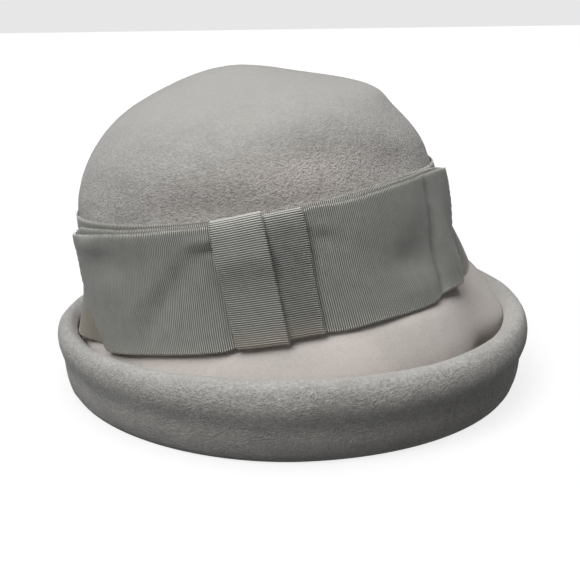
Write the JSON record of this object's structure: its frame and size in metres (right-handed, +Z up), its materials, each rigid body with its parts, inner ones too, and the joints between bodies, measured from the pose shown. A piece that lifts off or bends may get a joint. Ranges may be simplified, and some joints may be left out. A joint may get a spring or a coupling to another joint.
{
  "type": "wool felt hat with a turned-up rolled brim and a ribbon bow",
  "caption": "Blocked wool felt hat: domed crown leaning back over a rolled brim, wide grosgrain band and a flat tailored bow on the side.",
  "frame": {"origin": "on the surface that the hat stands on, under the middle of the brim", "axes": "+Z up, +X towards the front of the hat, where the crown's wall is longest; the bow is on the -Y side, and the crown leans towards -X"},
  "size_m": [0.23, 0.2384, 0.1497],
  "materials": {
    "wool_felt": "matt wool felt with a fine short nap, pale greige with a rosy tinge",
    "band_grosgrain": "grosgrain ribbon, upright ribs, picot edges, soft low sheen",
    "bow_grosgrain": "grosgrain ribbon, upright ribs, picot edges, soft low sheen",
    "knot_grosgrain": "grosgrain ribbon, cross ribs, picot edges, soft low sheen"
  },
  "bodies": {
    "root": {"felt_body": "wool_felt", "hatband": "band_grosgrain", "bow_loop": "bow_grosgrain", "knot_strip_under": "knot_grosgrain", "knot_strip_over": "knot_grosgrain"}
  },
  "joints": []
}
